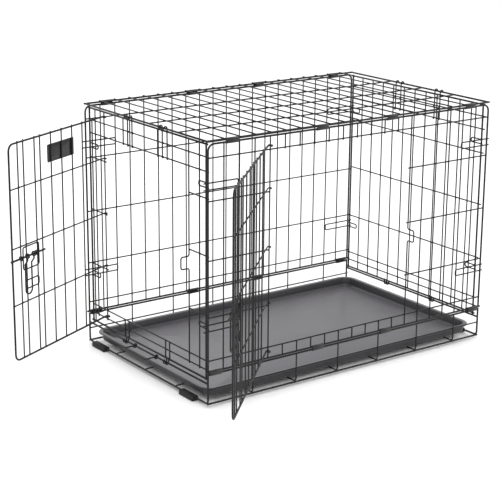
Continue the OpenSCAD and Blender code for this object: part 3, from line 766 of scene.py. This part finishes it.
piece("base_frame", base_frame(), ("base_floor", "base_front_lip", "base_rear_lip"), black_wire)
for name, s in (("base_left_rail", -1), ("base_right_rail", 1)):
    rail = [[s * plane_x, -plane_y + 2, rail_z], [s * plane_x, plane_y - 2, rail_z]]
    piece(name + "_wire", [wire(rail, thick)], (name,), black_wire)
piece("foot_sleeves", [foot_sleeve(s * plane_x, y) for s in (-1, 1)
                       for y in (front_foot_y - plane_y, plane_y - rear_foot_y)],
      ("feet",), foot_rubber)
piece("front_side", long_side(-1), ("front_left_grille", "front_header", "front_sill", "front_right_grille",
                                    "front_keeper"), black_wire)
piece("rear_side", long_side(1), ("rear_panel",), black_wire)
piece("roof_side", roof(), ("top_panel",), black_wire)
piece("left_end_wall", left_end(), ("left_rear_stile", "left_header", "left_sill", "left_front_stile",
                                    "end_keeper"), black_wire)
piece("right_end_wall", right_end(), ("right_end_panel",), black_wire, "right_end")
for end, s, body in (("left", -1, "frame"), ("right", 1, "right_end")):
    piece(end + "_spring_hooks", hooks(s), (end + "_hooks",), black_wire, body)
    piece(end + "_links", rings(s), (end + "_rings",), black_wire, body)
    piece(end + "_corner_catches", catches(s), (end + "_catches",), black_wire, body)
for name, s in (("front", -1), ("rear", 1)):
    piece(name + "_corner_hairpins", hairpins(s), (name + "_hairpins",), black_wire)
    piece("top_" + name + "_sheet_clips", clips(s, side_top, plane_x - 1.5 * bay),
          ("top_" + name + "_clips",), black_sheet)
    piece("bottom_" + name + "_sheet_clips", clips(s, lip_z, plane_x - thick - 15),
          ("bottom_" + name + "_clips",), black_sheet)
piece("pan_tray", [pan_shell()], ("pan",), pan_plastic, "pan")
piece("pan_stop_bail", pan_stop(), ("pan_stop",), black_wire, "pan_stop")
for name, place, opening, pitch, latch, rails, z in (
        ("front", front_place, front_opening, bay, front_latch, front_rails, front_bolt_z),
        ("end", end_place, end_opening, end_pitch, end_latch, end_rails, end_bolt_z)):
    piece(name + "_door_grid", turned(door(opening, pitch, latch, rails), *place),
          (name + "_door",), black_wire, name + "_door")
    piece(name + "_bolt_guide", turned(guide(latch, z), *place),
          (name + "_guide",), black_wire, name + "_door")
    piece(name + "_handle_rest", turned(staple(latch, z), *place),
          (name + "_staple",), black_wire, name + "_door")
    piece(name + "_slide_bolt", turned(bolt(latch, opening, z), *place),
          (name + "_bolt",), black_rod, name + "_bolt")
    piece(name + "_bail_handle", turned(handle(latch, z), *place),
          (name + "_handle",), black_rod, name + "_handle")
piece("blank_name_plate", turned(plate(), *end_place), ("name_plate",), plate_gloss, "end_door")


# ---- floor, light and camera ----

floor_mesh = bpy.data.meshes.new("pale_floor")
reach = 60
floor_mesh.from_pydata([(-reach, -reach, 0), (reach, -reach, 0), (reach, reach, 0), (-reach, reach, 0)],
                       [], [(0, 1, 2, 3)])
floor = bpy.data.objects.new("pale_floor", floor_mesh)
bpy.context.scene.collection.objects.link(floor)
pale = bpy.data.materials.new("pale_floor")
pale.use_nodes = True
pale.node_tree.nodes["Principled BSDF"].inputs["Base Color"].default_value = (0.92, 0.92, 0.92, 1)
pale.node_tree.nodes["Principled BSDF"].inputs["Roughness"].default_value = 0.6
floor_mesh.materials.append(pale)

world = bpy.data.worlds.new("studio")
bpy.context.scene.world = world
world.use_nodes = True
world.node_tree.nodes["Background"].inputs["Color"].default_value = (1, 1, 1, 1)
world.node_tree.nodes["Background"].inputs["Strength"].default_value = 1.08
for name, place, size, power in (("key", (-1.6, -2.2, 3.2), 2.6, 60), ("fill", (2.8, -1.6, 2.4), 2.6, 25),
                                 ("back", (0.4, 2.8, 2.6), 2.4, 25)):
    lamp = bpy.data.lights.new(name, "AREA")
    lamp.energy, lamp.size = power, size
    light = bpy.data.objects.new(name, lamp)
    toward = Vector((0, 0, 0.25)) - Vector(place)
    light.matrix_world = Matrix.Translation(place) @ toward.to_track_quat("-Z", "Y").to_matrix().to_4x4()
    bpy.context.scene.collection.objects.link(light)

yaw, pitch, roll = (math.radians(v) for v in (35.986, 16.212, 0.475))
ahead = np.array([math.sin(yaw) * math.cos(pitch), math.cos(yaw) * math.cos(pitch), -math.sin(pitch)])
level_x = np.array([math.cos(yaw), -math.sin(yaw), 0])
level_y = np.cross(level_x, ahead)
right = math.cos(roll) * level_x + math.sin(roll) * level_y
above = -math.sin(roll) * level_x + math.cos(roll) * level_y
camera = bpy.data.objects.new("camera", bpy.data.cameras.new("camera"))
camera.data.lens, camera.data.sensor_width = 108.76, 36
place = (-2.0059, -2.6221, 1.1768)
camera.matrix_world = Matrix([[right[k], above[k], -ahead[k], place[k]] for k in range(3)] + [[0, 0, 0, 1]])
bpy.context.scene.collection.objects.link(camera)
bpy.context.scene.camera = camera
bpy.context.scene.view_settings.view_transform = "Standard"
